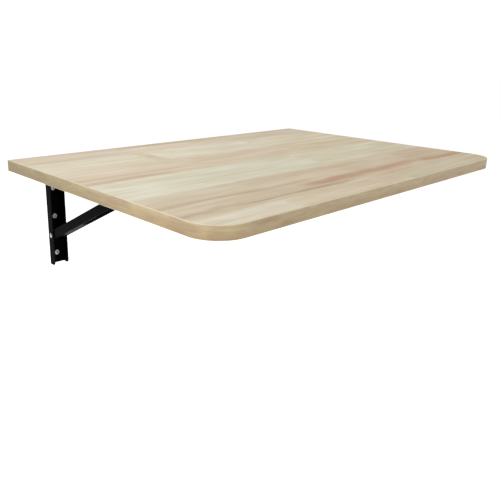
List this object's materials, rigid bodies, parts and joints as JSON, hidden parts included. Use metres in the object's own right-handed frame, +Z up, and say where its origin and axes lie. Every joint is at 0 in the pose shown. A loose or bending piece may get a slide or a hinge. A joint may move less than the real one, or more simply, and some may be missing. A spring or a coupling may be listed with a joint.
{
  "type": "drop leaf table",
  "caption": "Wall-mounted drop leaf table: a laminated wood leaf on self-locking folding brackets that let it hang down flat against the wall.",
  "frame": {"origin": "centre of the four outer wall screws, on the wall plane", "axes": "+X along the wall to the right as seen from the room, +Y into the wall, +Z up; the leaf reaches out along -Y"},
  "size_m": [0.7, 0.5245, 0.194],
  "materials": {
    "board_core": "matte",
    "top_decor": "satin",
    "bottom_decor": "satin",
    "edge_band": "satin",
    "black_steel": "satin powder coat",
    "zinc_steel": "zinc plated",
    "spring_steel": "polished"
  },
  "bodies": {
    "wall_mount": {"wall_arm_left": "black_steel", "wall_screws_left": "zinc_steel", "top_pivot_rivet_left": "zinc_steel", "top_pivot_washers_left": "zinc_steel", "brace_pivot_rivet_left": "zinc_steel", "wall_arm_right": "black_steel", "wall_screws_right": "zinc_steel", "top_pivot_rivet_right": "zinc_steel", "top_pivot_washers_right": "zinc_steel", "brace_pivot_rivet_right": "zinc_steel"},
    "leaf": {"leaf_core": "board_core", "top_decor_sheet": "top_decor", "bottom_decor_sheet": "bottom_decor", "edge_band_front": "edge_band", "edge_band_rear": "edge_band", "table_arm_left": "black_steel", "table_screws_left": "zinc_steel", "lever_rivet_left": "zinc_steel", "lever_spring_left": "spring_steel", "table_arm_right": "black_steel", "table_screws_right": "zinc_steel", "lever_rivet_right": "zinc_steel", "lever_spring_right": "spring_steel"},
    "brace_left": {"brace_left": "black_steel", "fork_rivets_left": "zinc_steel"},
    "slide_pin_left": {"slide_pin_left": "zinc_steel"},
    "release_lever_left": {"release_lever_left": "black_steel"},
    "brace_right": {"brace_right": "black_steel", "fork_rivets_right": "zinc_steel"},
    "slide_pin_right": {"slide_pin_right": "zinc_steel"},
    "release_lever_right": {"release_lever_right": "black_steel"}
  },
  "joints": [
    {"name": "leaf_fold", "type": "hinge", "parent": "wall_mount", "child": "leaf", "pos_m": [0, -0.0105, 0.085], "axis": [1, 0, 0], "range_deg": [0, 90]},
    {"name": "brace_left_fold", "type": "hinge", "parent": "wall_mount", "child": "brace_left", "pos_m": [-0.275, -0.0105, -0.023], "axis": [1, 0, 0], "range_deg": [0, 116.8]},
    {"name": "slide_pin_left_slide", "type": "slide", "parent": "leaf", "child": "slide_pin_left", "axis": [0, -1, 0], "range_m": [0, 0.1338]},
    {"name": "release_lever_left_press", "type": "hinge", "parent": "leaf", "child": "release_lever_left", "pos_m": [-0.275, -0.29653, 0.0785], "axis": [-1, 0, 0], "range_deg": [0, 5.5], "stiffness_Nm_per_rad": 1, "deforming": ["lever_spring_left"]},
    {"name": "brace_right_fold", "type": "hinge", "parent": "wall_mount", "child": "brace_right", "pos_m": [0.275, -0.0105, -0.023], "axis": [1, 0, 0], "range_deg": [0, 116.8]},
    {"name": "slide_pin_right_slide", "type": "slide", "parent": "leaf", "child": "slide_pin_right", "axis": [0, -1, 0], "range_m": [0, 0.1338]},
    {"name": "release_lever_right_press", "type": "hinge", "parent": "leaf", "child": "release_lever_right", "pos_m": [0.275, -0.29653, 0.0785], "axis": [-1, 0, 0], "range_deg": [0, 5.5], "stiffness_Nm_per_rad": 1, "deforming": ["lever_spring_right"]}
  ],
  "couplings": [
    {"joint": "brace_left_fold", "follows": "leaf_fold", "ratio": 1.2972},
    {"joint": "slide_pin_left_slide", "follows": "leaf_fold", "m_per_rad": 0.085099},
    {"joint": "brace_right_fold", "follows": "leaf_fold", "ratio": 1.2972},
    {"joint": "slide_pin_right_slide", "follows": "leaf_fold", "m_per_rad": 0.085099}
  ]
}
